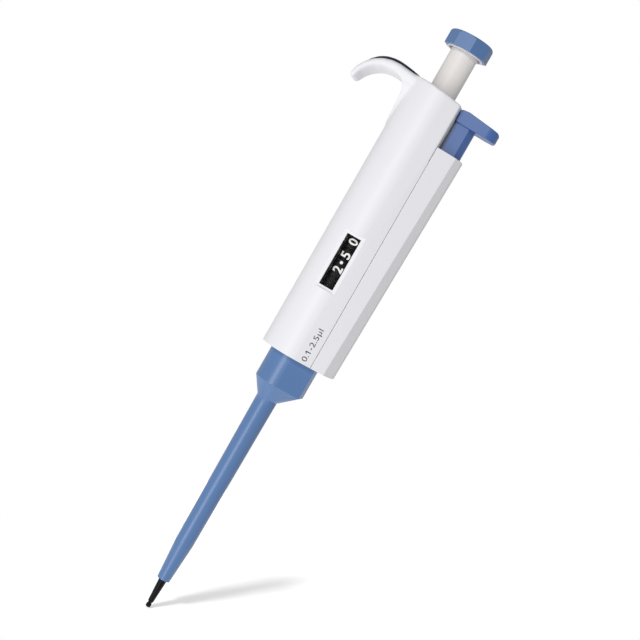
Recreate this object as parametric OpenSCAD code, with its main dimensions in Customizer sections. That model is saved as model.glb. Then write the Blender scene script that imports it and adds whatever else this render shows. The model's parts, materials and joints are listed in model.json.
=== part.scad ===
// Single-channel adjustable micropipette, in millimetres.
// The plunger axis is Z, with the end of the tip cone at the origin and the button at the top.
// The finger hook is on the -X side, the tip ejector on the +X side, and the counter window faces -Y.

/* [Handle] */
// Height of the handle's bottom edge above the end of the tip cone
handle_z = 106; // [98:0.5:116]
// Wall between the mechanism bore and the round grip
grip_wall = 3.8; // [3.4:0.1:5]
// Wall between the mechanism bore and the flat that carries the ejector cover
side_wall = 1.1; // [0.9:0.1:2]
// Thickness of the handle's roof round the stem
roof_t = 4.25; // [3.5:0.05:6]
// Slope of the handle's roof, falling towards the ejector
roof_deg = 6.9; // [0:0.1:9]
// Distance from the axis to the crease where the round grip meets the flat facets
crease_x = 3.6; // [2:0.1:5]
// Angle by which the flat facets close in towards the ejector
facet_deg = 22.5; // [19:0.5:26]

/* [Finger hook] */
// Radius of the arc that the middle of the hook follows
hook_arc_r = 12.5; // [11:0.1:14]
// Distance of that arc's centre from the grip's surface
hook_reach = 6.8; // [6:0.1:9]
// Sweep of the arc, from its top to the hook's free end
hook_sweep_deg = 81; // [60:1:86]
// Width of the hook
hook_w = 16; // [12:0.5:18]
// Thickness of the hook where it leaves the handle
hook_root_t = 4.2; // [3.6:0.1:5]
// Thickness of the hook near its free end
hook_tip_t = 2.5; // [2:0.1:3.4]
// Radius of the hollow under the hook where it meets the grip
finger_r = 5; // [4:0.1:6]
// Height of the web that carries the hook down the grip
web_h = 17; // [14:0.5:24]
// Width of the soft inlay along the hook's top
inlay_w = 12; // [8:0.5:13]
// Thickness of the inlay
inlay_t = 0.6; // [0.4:0.05:1]

/* [Ejector cover] */
// Depth of the cover from the seam to its outer end, at the top
cover_d = 9.5; // [9.2:0.1:12]
// Depth of the cover's front facet from the seam, at the top
cover_facet_d = 7.4; // [6.5:0.1:8]
// Half width of the flat on the cover's outer end
cover_end_half_w = 2.2; // [1:0.1:3]
// Angle by which the cover's outer end leans in towards the tip
cover_lean_deg = 1.0; // [0:0.1:1.2]
// Gap of the seam between the cover and the handle
seam_gap = 0.12; // [0.05:0.01:0.3]
// Wall thickness of the cover
cover_wall = 1.0; // [0.8:0.1:1.4]
// Width of the two rails that hold the cover
rail_w = 1.2; // [0.8:0.1:1.6]
// Depth of those rails
rail_d = 1.4; // [1:0.1:1.8]

/* [Counter] */
// Radius of the number drums
drum_r = 7.3; // [6.8:0.1:8]
// Clearance between the drums and the bore of the handle
drum_gap = 0.9; // [0.7:0.1:1.4]
// Height of the window above the handle's bottom edge
window_rise = 27.8; // [25:0.1:32]
// Height of the window
window_h = 20.3; // [18:0.1:21]
// Width of the window
window_w = 5.5; // [4:0.1:6.5]
// Depth of the flat that the window is set in, below the round grip
window_flat = 0.75; // [0.5:0.05:1]
// Rim of that flat above and below the window
window_rim = 1.1; // [0.6:0.1:2]
// Thickness of the clear pane
pane_t = 0.9; // [0.6:0.1:1.2]
// Angle by which the window's sides open behind the pane
window_flare_deg = 23; // [10:1:30]
// Height of the blank ring below the first drum
blank_h = 5.2; // [4:0.1:6]
// Width of the units drum, which also carries the decimal point
units_w = 6.6; // [5:0.1:7]
// Width of the tenths drum
tenths_w = 2.95; // [2.5:0.05:4]
// Width of the hundredths drum
hundredths_w = 5.35; // [4:0.05:6]
// Width of the toothed rims that the carry pinions turn
gear_w = 0.85; // [0.6:0.05:1.2]
// Teeth on a drum's rim
drum_teeth = 28; // [24:1:32]
// Teeth on a carry pinion
pinion_teeth = 8; // [7:1:10]

/* [Plunger] */
// Full travel of the button: the measuring stroke and the blow-out
stroke = 13; // [10:0.5:15]
// Travel of the volume screw between the largest and the smallest volume
dial_travel = 9.6; // [7:0.1:11]
// Gap left under the button when it is pressed down fully
button_clear = 3.7; // [3:0.1:6]
// Radius of the stem
stem_r = 5.2; // [4.9:0.05:5.4]
// Wall thickness of the stem
stem_wall = 2; // [1.4:0.1:2.4]
// Radius of the button over its eight corners
button_r = 8.6; // [8:0.1:9.5]
// Height of the button
button_h = 5.8; // [5:0.1:8]
// Turn of the button's corners about the axis at rest
button_turn_deg = -74.6; // [-90:0.1:-45]
// Radius of the pale ring under the button
ring_r = 7.1; // [6.8:0.05:7.3]
// Depth of the hollow in that ring
ring_hollow = 2.6; // [1.5:0.1:3.5]
// Width across the flats of the hexagonal control rod
rod_af = 4; // [3:0.1:4.2]
// Radius of the round rod that carries the piston
piston_rod_r = 1; // [0.8:0.05:1.1]
// Radius of the piston
piston_r = 0.28; // [0.2:0.01:0.35]

/* [Tip cone and shaft] */
// Length of the tip cone that shows below the ejector sleeve
cone_len = 11.7; // [9:0.1:14]
// Radius of the tip cone at the sleeve
cone_r = 1.56; // [1.4:0.01:1.6]
// Radius of the tip cone above its neck
cone_end_r = 1.06; // [0.95:0.01:1.2]
// Radius of the bead at the end of the tip cone
bead_r = 0.95; // [0.85:0.01:1.1]
// Height of the bead
bead_h = 1.5; // [1:0.1:2]
// Radius of the air passage through the tip cone
air_r = 0.4; // [0.3:0.01:0.45]
// Length of the tip cone inside the sleeve
cone_root = 15.4; // [12:0.1:18]
// Radius of the shaft at its lower end
shaft_end_r = 2.1; // [2:0.05:2.2]
// Radius of the shaft at the handle
shaft_r = 2.7; // [2.6:0.05:2.8]
// Radius of the bore through the shaft
shaft_bore_r = 1.35; // [1.3:0.01:1.4]

/* [Ejector] */
// Travel of the ejector
eject_travel = 10; // [6:0.5:11]
// Radius of the sleeve at its lower end
sleeve_end_r = 2.45; // [2.4:0.01:2.7]
// Radius of the sleeve at the knee
knee_r = 3.45; // [3.4:0.05:3.7]
// Height of the knee above the sleeve's lower end
knee_h = 15.5; // [12:0.5:18]
// Radius of the sleeve under its shoulder
sleeve_r = 4.0; // [3.9:0.05:4.4]
// Height of the sleeve's shoulder
shoulder_h = 6; // [4:0.5:9]
// Length of the sleeve's block that shows below the handle
block_show = 12; // [9:0.5:14]
// Distance from the axis to the crease on the sleeve's block
block_crease_x = 1.8; // [1:0.1:3]
// Wall thickness of the sleeve at its lower end
sleeve_wall = 0.52; // [0.45:0.01:0.58]
// Width of the thumb lever
lever_w = 9.5; // [9:0.1:13]
// Reach of the thumb lever from the seam
lever_reach = 16.2; // [13:0.1:18]
// Thickness of the thumb lever at its root
lever_t = 4.9; // [4:0.1:6]
// Fall of the thumb lever's top along its length
lever_fall = 1.6; // [0:0.1:2.5]
// Depth of the lever's shank along X
shank_d = 7.2; // [6.6:0.1:7.4]
// Width of the lever's shank
shank_w = 7.6; // [6:0.1:8]
// Depth of the bevels on the shank's outer corners
shank_bevel = 2; // [1.4:0.1:2.4]
// Radius of the ejector rod
eject_rod_r = 1.2; // [1:0.05:1.4]

/* [Springs] */
// Wire diameter of the plunger and blow-out springs
wire_d = 0.9; // [0.7:0.05:1]
// Turns of the plunger spring
plunger_turns = 6.5; // [5:0.25:8]
// Turns of the blow-out spring
blowout_turns = 2.5; // [2:0.25:3]
// Free height between the blow-out ring and its seat
blowout_h = 4.6; // [4:0.1:6]
// Wire diameter of the ejector spring
eject_wire_d = 0.6; // [0.5:0.05:0.8]
// Turns of the ejector spring
eject_turns = 9; // [7:0.5:11]
// Length of the ejector spring
eject_spring_h = 24; // [20:0.5:26]

/* [Fits] */
// Radial clearance of a piece seated in a bore
seat = 0.05; // [0.02:0.01:0.1]
// Radial clearance of a running fit
run = 0.06; // [0.02:0.01:0.1]
// Clearance between faces that turn or slide past each other
free_gap = 0.4; // [0.3:0.05:0.6]
// Axial play between the drums
play = 0.15; // [0.1:0.01:0.2]

/* [Hidden] */
$fn = 72;

white = "#eceaf0";
pale = "#d8d5d4";
blue = "#5b7cb4";
dark_blue = "#2b3a63";
black = "#17181b";
steel = "#b9bdc4";
brass = "#c2a25a";
clear = "#dfe8ee";
ivory = "#f0efe8";

// Size of the blocks that cut away a half space, and how far a cut runs past a face
big = 100;
over = 1;
// Gap between faces that rest on each other
touch = 0.02;

// Mechanism bore, grip and seam
bore_r = drum_r + drum_gap;
fit_r = bore_r - seat;
grip_r = bore_r + grip_wall;
seam_x = bore_r + side_wall;
crease_y = sqrt(grip_r * grip_r - crease_x * crease_x);
function facet_y(x) = crease_y - (x - crease_x) * tan(facet_deg);

// Levels from the handle's bottom edge up to the shaft's nut
cover_floor_t = cover_wall + free_gap;
block_top = handle_z + cover_floor_t + eject_travel + free_gap;
foot_t = 1.5;
foot_top = block_top + seat + foot_t;
screw_head_h = 1.1;
carrier_z = foot_top + screw_head_h + free_gap;
carrier_t = 2;
shaft_nut_t = 2.15;
shaft_nut_w = 2.3;
shaft_nut_r = shaft_r + shaft_nut_w;
shaft_top = carrier_z + carrier_t + seat + shaft_nut_t;
rod_bottom = shaft_top + stroke + free_gap;

// Levels of the counter
window_z = handle_z + window_rise;
counter_flange_t = 2;
counter_z = window_z - window_rim - counter_flange_t;
blank_z = counter_z + counter_flange_t + seat;
units_z = blank_z + blank_h + play;
units_rim_z = units_z + units_w;
tenths_z = units_rim_z + gear_w + play;
tenths_rim_z = tenths_z + tenths_w;
hundredths_z = tenths_rim_z + gear_w + play;
drive_flange_z = hundredths_z + hundredths_w + seat;
drive_flange_t = 0.8;
drive_top = drive_flange_z + drive_flange_t;

// Levels of the springs, the stop collar and the volume screw
seat_z = drive_top + free_gap;
seat_t = 1;
seat_top = seat_z + seat_t;
blowout_ring_t = 2.6;
blowout_ring_z = seat_top + blowout_h;
collar_z = blowout_ring_z + blowout_ring_t + free_gap + stroke;
collar_t = 3;
stem_z = collar_z + collar_t + seat;
screw_len = 13;
screw_z = stem_z + dial_travel + free_gap;
screw_top = screw_z + screw_len;
nut_h = 8;
nut_drop = 2.8;
nut_z = screw_z - nut_drop;
bush_gap = 2.4;
bush_z = screw_top + bush_gap;
bush_t = 2.9;
bore_top = bush_z + bush_t + seat;
handle_top = bore_top + roof_t;
key_top = bush_z - free_gap;
key_w = 1.6;
key_d = 0.8;
key_gap = 0.15;

// Button, stem and rods of the plunger
button_z = handle_top + stroke + button_clear;
button_round = 1.4;
ring_lip = 0.4;
ring_wall = 0.7;
stem_cap = 1;
stem_top = button_z + ring_hollow + stem_cap;
spool_r = stem_r - stem_wall - seat;
spool_h = 9;
rod_corner_r = rod_af / sqrt(3);
rod_socket = 6;
ferrule_drop = 13;
ferrule_z = handle_z - ferrule_drop;
ferrule_h = 4;

// Radii inside the bore
nut_wall = 1.1;
screw_r = fit_r - nut_wall - run;
drum_wall = 2.1;
tube_r = drum_r - drum_wall;
drive_wall = 1.4;
drive_r = rod_corner_r + drive_wall;
drive_flange_r = drum_r - 2 * free_gap;
collar_r = bore_r - 1.5 * free_gap;
plunger_spring_r = stem_r - free_gap;
blowout_ring_r = bore_r - free_gap;
blowout_bore_r = plunger_spring_r + wire_d / 2 + free_gap;
blowout_spring_r = (blowout_bore_r + blowout_ring_r) / 2;

// Toothed rims and carry pinions; the teeth are given as shares of the module and of the pitch angle
rim_drop = 1;
tooth_m = 2 * (drum_r - rim_drop) / drum_teeth;
tooth_tip = 0.75;
tooth_root = 0.95;
tip_half = 0.1;
root_half = 0.27;
mesh_gap = 0.06;
pinion_c = tooth_m * (drum_teeth + pinion_teeth) / 2 + mesh_gap;
pinion_shaft_r = 0.5;
pinion_pocket_r = tooth_m * (pinion_teeth / 2 + tooth_tip) + free_gap;

// Ejector sleeve, lever and rod
block_inset = 0.2;
block_r = bore_r - block_inset;
block_reach = 1.4;
block_end_x = seam_x + block_reach;
block_z = handle_z - block_show;
block_wall = 1.2;
block_fillet = 1.5;
shoulder_z = block_z - shoulder_h;
tube_wall = 0.8;
lip_h = 2;
lever_drop = 6.3;
lever_z = handle_top - lever_drop;
lever_gap = 0.25;
lever_x = seam_x + lever_gap;
lever_end_x = seam_x + lever_reach;
lever_under_fall = 0.5;
lever_hump = 0.15;
lever_hump_d = 3.3;
lever_edge_r = 1;
lever_corner_r = 4;
cover_gap = 1.5;
cover_top = lever_z - eject_travel - cover_gap;
cover_end_x = seam_x + cover_d;
shank_gap = 0.9;
shank_x = seam_x + shank_gap;
shank_room = 0.35;
shank_grip = 20;
shank_bottom = cover_top - shank_grip;
shank_end_half_w = 1.3;
rod_reach = 3.4;
rod_x = seam_x + rod_reach;
rod_seat_h = 10;
eject_spring_r = eject_rod_r + eject_wire_d / 2 + free_gap;
rib_top = shank_bottom - eject_spring_h;
rib_t = 3;
channel_half_w = eject_spring_r + eject_wire_d / 2 + free_gap;
channel_end_x = rod_x + channel_half_w;
rail_y = shank_w / 2 + shank_room + 1.5 * rail_w;
rail_end_gap = 12;
foot_half_w = eject_rod_r + cover_wall;
foot_screw_x = block_r + free_gap;
foot_screw_r = 0.9;
foot_screw_head_r = 1.6;
foot_screw_len = 6;

// Shaft, tip cone and piston
flange_w = 1.5;
flange_t = 1.3;
knee_z = cone_len + knee_h;
shaft_z = cone_len + cone_root;
spigot_h = 5;
seal_gap = 2;
seal_z = shaft_z + spigot_h + seal_gap;
seal_h = 3;
seal_ring_r = 0.48;
retainer_h = 6;
piston_gap = 0.3;
piston_tail = 2.5;
piston_z = seal_z - piston_tail;
neck_in = 0.2;
neck_h = 0.4;
bead_round = 0.25;

// Hook: the middle line runs along under the roof, then round an arc to the free end
hook_start_deg = 90 - roof_deg;
hook_root_x = -6;
hook_c = [-grip_r - hook_reach, handle_top
    + ((grip_r + hook_reach) * sin(roof_deg) - hook_root_t / 2 - seat - hook_arc_r) / cos(roof_deg)];
hook_run = grip_r + hook_reach + hook_root_x;
hook_narrow_share = 0.22;
hook_rings = 12;
hook_sides = 24;
cap_rings = 4;
cap_deg = 84;
cap_narrow_share = 0.35;
web_sink = 8;
web_edge = 0.6;
web_foot_half_w = 1.5;
inlay_from_share = -0.58;
inlay_to_share = 0.65;
inlay_rings = 12;
inlay_end_share = 0.4;
inlay_end_rings = 3;
inlay_side_share = 0.6;
inlay_top_share = 0.94;

// Rounds each corner of a closed outline with an arc of radius r
function rounded(pts, r, n = 6) = [for (i = [0 : len(pts) - 1])
    let (p = pts[i], a = pts[(i + len(pts) - 1) % len(pts)] - p, b = pts[(i + 1) % len(pts)] - p,
         ua = a / norm(a), ub = b / norm(b), half = acos(ua * ub) / 2,
         turn = sign(ua[0] * ub[1] - ua[1] * ub[0]) * (180 - 2 * half),
         m = p + (ua + ub) / norm(ua + ub) * r / sin(half), s = p + ua * r / tan(half) - m)
    for (k = [0 : n]) let (t = -turn * k / n)
        m + [s[0] * cos(t) - s[1] * sin(t), s[0] * sin(t) + s[1] * cos(t)]];

// Faces of a closed tube of rings, each with n points
function tube_faces(rings, n) = concat(
    [[for (i = [n - 1 : -1 : 0]) i]],
    [for (j = [0 : rings - 2], i = [0 : n - 1], k = [0, 1]) let (p = j * n + i, q = j * n + (i + 1) % n)
        k == 0 ? [p, q, p + n] : [q, q + n, p + n]],
    [[for (i = [0 : n - 1]) (rings - 1) * n + i]]);

// Root of a sine or cosine that keeps its sign, for soft-cornered sections
function soft(v) = sign(v) * sqrt(abs(v));

// Point on the hook's middle line at t: below 0 along the roof, from 0 to 1 round the arc
function hook_mid(t) = t < 0
    ? hook_mid(0) + [cos(roof_deg), -sin(roof_deg)] * -t * hook_run
    : let (a = hook_start_deg + t * hook_sweep_deg) hook_c + hook_arc_r * [cos(a), sin(a)];
// Direction from the middle line to the hook's top, its thickness and its half width
function hook_up(t) = let (a = hook_start_deg + max(t, 0) * hook_sweep_deg) [cos(a), sin(a)];
function hook_t(t) = hook_root_t + (hook_tip_t - hook_root_t) * max(t, 0);
function hook_half_w(t) = hook_w / 2 * (1 - hook_narrow_share * pow(max(t, 0), 3));

// One soft-cornered ring of the hook, scaled by s for the rounded free end
function hook_ring(t, s) = [for (i = [0 : hook_sides - 1])
    let (a = 360 * i / hook_sides, p = hook_mid(t) + hook_up(t) * soft(sin(a)) * hook_t(t) / 2 * s)
    [p[0], soft(cos(a)) * hook_half_w(t) * (1 - (1 - s) * cap_narrow_share), p[1]]];

// Outline that is round up to the crease, with flat facets from there to end_x
module faceted_section(r, crease, crease_h, end_x) {
    end_h = crease_h - (end_x - crease) * tan(facet_deg);
    intersection() {
        circle(r = r);
        translate([-big, -big]) square([big + crease, 2 * big]);
    }
    polygon([[0, touch - r], [crease, -crease_h], [end_x, -end_h], [end_x, end_h], [crease, crease_h],
        [0, r - touch]]);
}

// Outline of the grip
module grip_section() {
    faceted_section(grip_r, crease_x, crease_y, seam_x);
}

// Outline of the sleeve's block, grown by g
module block_section(g) {
    crease_h = sqrt(pow(block_r + g, 2) - pow(block_crease_x, 2));
    faceted_section(block_r + g, block_crease_x, crease_h - touch, block_end_x + g);
}

// Outline of the lever's shank with its bevelled outer corners, grown by g
module shank_section(g) {
    half = shank_w / 2 + g;
    end = shank_x + shank_d + g;
    end_half = shank_end_half_w + g / 2;
    polygon([[shank_x - g, -half], [end - shank_bevel, -half], [end, -end_half], [end, end_half],
        [end - shank_bevel, half], [shank_x - g, half]]);
}

// Straight tube from z0 to z1
module pipe(r, bore, z0, z1) {
    difference() {
        translate([0, 0, z0]) cylinder(r = r, h = z1 - z0);
        translate([0, 0, z0 - over]) cylinder(r = bore, h = z1 - z0 + 2 * over);
    }
}

// Hexagonal bar, given across its flats
module hex_bar(af, z0, z1) {
    translate([0, 0, z0]) cylinder(r = af / sqrt(3), h = z1 - z0, $fn = 6);
}

// Compression spring wound between z0 and z1 about the Z axis
module spring(r, wire, turns, z0, z1) {
    sides = 6;
    turn_rings = 8;
    rings = floor(turns * turn_rings) + 1;
    rise = (z1 - z0 - wire - 2 * touch) / (rings - 1);
    pts = [for (j = [0 : rings - 1], i = [0 : sides - 1])
        let (a = 360 * j / turn_rings, b = 360 * i / sides, d = r + wire / 2 * cos(b))
        [d * cos(a), d * sin(a), z0 + touch + wire / 2 + rise * j + wire / 2 * sin(b)]];
    polyhedron(pts, tube_faces(rings, sides));
}

// Outline of a small gear with straight-sided teeth, one tooth centred on +X
module gear_section(teeth) {
    pitch_deg = 360 / teeth;
    tip = tooth_m * (teeth / 2 + tooth_tip);
    root = tooth_m * (teeth / 2 - tooth_root);
    corners = [[root, -root_half], [tip, -tip_half], [tip, tip_half], [root, root_half]];
    polygon([for (i = [0 : teeth - 1], c = corners)
        let (a = pitch_deg * (i + c[1])) c[0] * [cos(a), sin(a)]]);
}

// Number drum, with a toothed rim on its upper side where rim is true
module drum(z, w, rim) {
    color(black) difference() {
        union() {
            translate([0, 0, z]) cylinder(r = drum_r, h = w);
            if (rim) translate([0, 0, z + w]) rotate(90) linear_extrude(gear_w) gear_section(drum_teeth);
        }
        translate([0, 0, z - over]) cylinder(r = tube_r + run, h = w + gear_w + 2 * over);
    }
}

// Carry pinion beside the drums, with a gap between teeth towards the toothed rim that starts at z
module pinion(z) {
    color(white) translate([0, pinion_c, z + play]) difference() {
        linear_extrude(gear_w - play) rotate(-90 + 180 / pinion_teeth) gear_section(pinion_teeth);
        translate([0, 0, -over]) cylinder(r = pinion_shaft_r + run, h = gear_w + 2 * over);
    }
}

// Solid hook, from inside the grip to its rounded free end
module hook_solid() {
    arc_len = hook_arc_r * hook_sweep_deg * PI / 180;
    body = [for (j = [0 : hook_rings]) hook_ring(-1 + 2 * j / hook_rings, 1)];
    cap = [for (k = [1 : cap_rings]) let (a = cap_deg * k / cap_rings)
        hook_ring(1 + sin(a) * hook_tip_t / 2 / arc_len, cos(a))];
    pts = [for (r = concat(body, cap), p = r) p];
    polyhedron(pts, tube_faces(hook_rings + 1 + cap_rings, hook_sides));
}

// Web under the hook: a hollow for the finger, narrowing down the grip
module hook_web() {
    hollow_x = -grip_r - finger_r - free_gap;
    hollow_z = hook_mid(0)[1] - hook_root_t / 2 - finger_r + free_gap;
    web_z = hollow_z + finger_r - web_h;
    half = hook_w / 2 - web_edge;
    intersection() {
        difference() {
            translate([hollow_x, -hook_w / 2, web_z])
                cube([finger_r + web_sink, hook_w, web_h + hook_root_t / 3]);
            translate([hollow_x, 0, hollow_z]) rotate([90, 0, 0])
                cylinder(r = finger_r, h = big, center = true);
            translate([hollow_x - over, -big / 2, hollow_z - big]) cube([finger_r + over, big, big]);
        }
        translate([hollow_x - over, 0, web_z]) rotate([90, 0, 90]) linear_extrude(big)
            polygon([[-web_foot_half_w, 0], [web_foot_half_w, 0], [half, web_h - hook_root_t / 2],
                [half, big], [-half, big], [-half, web_h - hook_root_t / 2]]);
    }
}

// Space above the sloping roof
module above_roof() {
    translate([0, 0, handle_top]) rotate([0, roof_deg, 0])
        translate([-big, -big, 0]) cube([2 * big, 2 * big, big]);
}

// Room for the sleeve's block, from below the handle up to the shaft's carrier
module block_room() {
    translate([0, 0, handle_z - over]) linear_extrude(carrier_z - handle_z + over) block_section(free_gap);
}

// The two rails of the cover, grown by g for their grooves
module rails(g) {
    rail_z = carrier_z + free_gap;
    for (s = [-1, 1])
        translate([seam_x - rail_d - g, s * rail_y - rail_w / 2 - g, rail_z - g])
            cube([rail_d + g + over, rail_w + 2 * g, cover_top - rail_end_gap - rail_z + 2 * g]);
}

// Outline of the window's cut: straight past the pane, then opening towards the drums
module window_section() {
    half = window_w / 2;
    pane_back = -grip_r + window_flat + seat + pane_t;
    open_half = half - pane_back * tan(window_flare_deg);
    polygon([[-half, -grip_r - over], [half, -grip_r - over], [half, pane_back], [open_half, 0],
        [-open_half, 0], [-half, pane_back]]);
}

// White handle moulding with the finger hook
module main_housing() {
    color(white) difference() {
        union() {
            difference() {
                translate([0, 0, handle_z]) linear_extrude(handle_top - handle_z + grip_r) grip_section();
                above_roof();
            }
            hook_web();
            hook_solid();
        }
        translate([0, 0, carrier_z]) cylinder(r = bore_r, h = bore_top - carrier_z);
        translate([0, 0, bore_top - over]) cylinder(r = stem_r + free_gap, h = roof_t + big);
        block_room();
        translate([0, pinion_c, counter_z]) cylinder(r = pinion_pocket_r, h = seat_z - counter_z);
        translate([-big / 2, -big - grip_r + window_flat, window_z - window_rim])
            cube([big, big, window_h + 2 * window_rim]);
        translate([0, 0, window_z]) linear_extrude(window_h) window_section();
        rails(seat);
    }
}

// Leaning planes that give the cover its outer end and its two chamfers
module cover_end_cut() {
    front_x = seam_x + cover_facet_d;
    front_y = facet_y(front_x);
    chamfer_deg = atan2(cover_end_x - front_x, front_y - cover_end_half_w);
    chamfer_lean_deg = cover_lean_deg / cos(chamfer_deg);
    translate([cover_end_x, 0, cover_top]) rotate([0, cover_lean_deg, 0])
        translate([0, -big, -2 * big]) cube([big, 2 * big, 3 * big]);
    for (s = [0, 1]) mirror([0, s, 0])
        translate([front_x, -front_y, cover_top]) rotate([0, chamfer_lean_deg, 0]) rotate(-chamfer_deg)
            translate([0, -big, -2 * big]) cube([big, 2 * big, 3 * big]);
}

// Hollow of the cover: a channel for the rod and its spring, and a wider well for the lever's shank
module cover_hollow() {
    difference() {
        translate([seam_x, -channel_half_w, handle_z + cover_floor_t])
            cube([channel_end_x - seam_x, 2 * channel_half_w, big]);
        translate([seam_x, -big / 2, rib_top - rib_t]) cube([big, big, rib_t]);
    }
    translate([0, 0, shank_bottom - eject_travel - free_gap]) linear_extrude(big) shank_section(shank_room);
    translate([rod_x, 0, rib_top - rib_t - over]) cylinder(r = eject_rod_r + run, h = rib_t + 2 * over);
}

// White cover over the ejector rod
module ejector_cover() {
    inner_x = seam_x + seam_gap;
    color(white) difference() {
        union() {
            difference() {
                translate([0, 0, handle_z]) linear_extrude(cover_top - handle_z) polygon([
                    [inner_x, -facet_y(inner_x)], [cover_end_x, -facet_y(cover_end_x)],
                    [cover_end_x, facet_y(cover_end_x)], [inner_x, facet_y(inner_x)]]);
                cover_end_cut();
            }
            rails(0);
        }
        cover_hollow();
        block_room();
    }
}

// Dark blue inlay along the top of the hook
module hook_inlay() {
    corners = [[-1, 0], [1, 0], [1, inlay_side_share], [inlay_top_share, 1], [-inlay_top_share, 1],
        [-1, inlay_side_share]];
    pts = [for (j = [0 : inlay_rings], c = corners)
        let (t = inlay_from_share + (inlay_to_share - inlay_from_share) * j / inlay_rings,
             grow = min(j, inlay_rings - j, inlay_end_rings) / inlay_end_rings,
             end = inlay_end_share + (1 - inlay_end_share) * grow,
             p = hook_mid(t) + hook_up(t) * (hook_t(t) / 2 + seat + touch + c[1] * inlay_t))
        [p[0], c[0] * end * inlay_w / 2, p[1]]];
    color(dark_blue) polyhedron(pts, tube_faces(inlay_rings + 1, len(corners)));
}

// Clear pane in the window
module counter_window() {
    color(clear) translate([-window_w / 2 + seat, -grip_r + window_flat + seat, window_z + seat])
        cube([window_w - 2 * seat, pane_t, window_h - 2 * seat]);
}

// Guide bush under the roof
module top_bush() {
    color(pale) pipe(fit_r, stem_r + run, bush_z, bush_z + bush_t);
}

// Fixed brass nut of the volume screw
module screw_nut() {
    color(brass) pipe(fit_r, screw_r + run, nut_z, nut_z + nut_h);
}

// Washer that the two springs of the plunger stand on
module spring_seat() {
    color(steel) pipe(fit_r, rod_corner_r + free_gap, seat_z, seat_top);
}

// Loose ring that gives the first stop
module blowout_ring() {
    color(pale) pipe(blowout_ring_r, blowout_bore_r, blowout_ring_z, blowout_ring_z + blowout_ring_t);
}

// Stiff spring under that ring
module blowout_spring() {
    color(steel) spring(blowout_spring_r, wire_d, blowout_turns, seat_top, blowout_ring_z);
}

// Return spring of the plunger
module plunger_spring() {
    color(steel) spring(plunger_spring_r, wire_d, plunger_turns, seat_top, collar_z);
}

// Fixed tube that the drums turn on, with its seating flange
module counter_tube() {
    color(black) difference() {
        union() {
            translate([0, 0, counter_z]) cylinder(r = fit_r, h = counter_flange_t);
            translate([0, pinion_c, counter_z]) cylinder(r = pinion_pocket_r - seat, h = counter_flange_t);
            translate([0, 0, counter_z]) cylinder(r = tube_r, h = hundredths_z + hundredths_w - counter_z);
        }
        translate([0, 0, counter_z - over]) cylinder(r = drive_r + run, h = big);
        translate([0, pinion_c, counter_z - over]) cylinder(r = pinion_shaft_r + seat, h = big);
    }
}

// Blank ring below the units drum
module blank_ring() {
    color(black) pipe(drum_r, tube_r + seat, blank_z, blank_z + blank_h);
}

// Axle of the two carry pinions
module pinion_shaft() {
    color(steel) translate([0, pinion_c, counter_z])
        cylinder(r = pinion_shaft_r, h = hundredths_z - counter_z + hundredths_w / 2);
}

// Disc that carries the shaft in the handle
module shaft_carrier() {
    color(white) pipe(fit_r, shaft_r + seat, carrier_z, carrier_z + carrier_t);
}

// Nut that clamps the shaft on its carrier
module shaft_nut() {
    color(brass) difference() {
        translate([0, 0, shaft_top - shaft_nut_t]) cylinder(r = shaft_nut_r, h = shaft_nut_t, $fn = 6);
        translate([0, 0, carrier_z]) cylinder(r = shaft_r + seat, h = big);
    }
}

// Shaft inside the sleeve, which holds the seals and guides the piston rod
module nozzle_shaft() {
    flange_top = carrier_z - seat;
    color(pale) rotate_extrude() polygon([[shaft_bore_r, shaft_z], [shaft_end_r, shaft_z],
        [shaft_r, shoulder_z], [shaft_r, flange_top - flange_t], [shaft_r + flange_w, flange_top - flange_t],
        [shaft_r + flange_w, flange_top], [shaft_r, flange_top], [shaft_r, shaft_top],
        [shaft_bore_r, shaft_top]]);
}

// Black tip cone: bead, neck and sealing cone, with a spigot into the shaft
module tip_cone() {
    neck_r = bead_r - neck_in;
    wide_r = piston_r + piston_gap;
    wide_z = piston_z - stroke - spigot_h / 2;
    spigot_r = shaft_bore_r - seat;
    root_z = shaft_z - seat;
    color(black) rotate_extrude() polygon([[air_r, 0], [bead_r - bead_round, 0], [bead_r, bead_round],
        [bead_r, bead_h - bead_round], [neck_r, bead_h], [neck_r, bead_h + neck_h],
        [cone_end_r, bead_h + 2 * neck_h], [cone_r, cone_len], [shaft_end_r - neck_in, root_z],
        [spigot_r, root_z], [spigot_r, shaft_z + spigot_h], [wide_r, shaft_z + spigot_h], [wide_r, wide_z],
        [air_r, wide_z - over]]);
}

// Lip seal round the piston
module piston_seal() {
    color(ivory) pipe(shaft_bore_r - seat, piston_r + run / 2, seal_z, seal_z + seal_h);
}

// Rubber ring that presses the seal
module seal_ring() {
    color(black) translate([0, 0, seal_z + seal_h + touch + seal_ring_r]) rotate_extrude()
        translate([shaft_bore_r - seat - seal_ring_r, 0]) circle(r = seal_ring_r, $fn = 24);
}

// Brass bush that holds the seals in place
module seal_retainer() {
    retainer_z = seal_z + seal_h + 2 * (touch + seal_ring_r);
    color(brass) pipe(shaft_bore_r - seat, piston_r + piston_gap, retainer_z, retainer_z + retainer_h);
}

// Return spring of the ejector
module ejector_spring() {
    color(steel) translate([rod_x, 0, 0])
        spring(eject_spring_r, eject_wire_d, eject_turns, rib_top, shank_bottom);
}

// Sleeve that the control rod turns, with the flange that carries the hundredths drum
module drive_sleeve() {
    color(pale) difference() {
        union() {
            translate([0, 0, counter_z]) cylinder(r = drive_r, h = drive_top - counter_z);
            translate([0, 0, drive_flange_z]) cylinder(r = drive_flange_r, h = drive_flange_t);
        }
        hex_bar(rod_af + 2 * run, counter_z - over, drive_top + over);
    }
}

module drum_hundredths() {
    drum(hundredths_z, hundredths_w, false);
}

module drum_tenths() {
    drum(tenths_z, tenths_w, true);
}

module drum_units() {
    drum(units_z, units_w, true);
}

module pinion_tenths() {
    pinion(tenths_rim_z);
}

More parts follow.
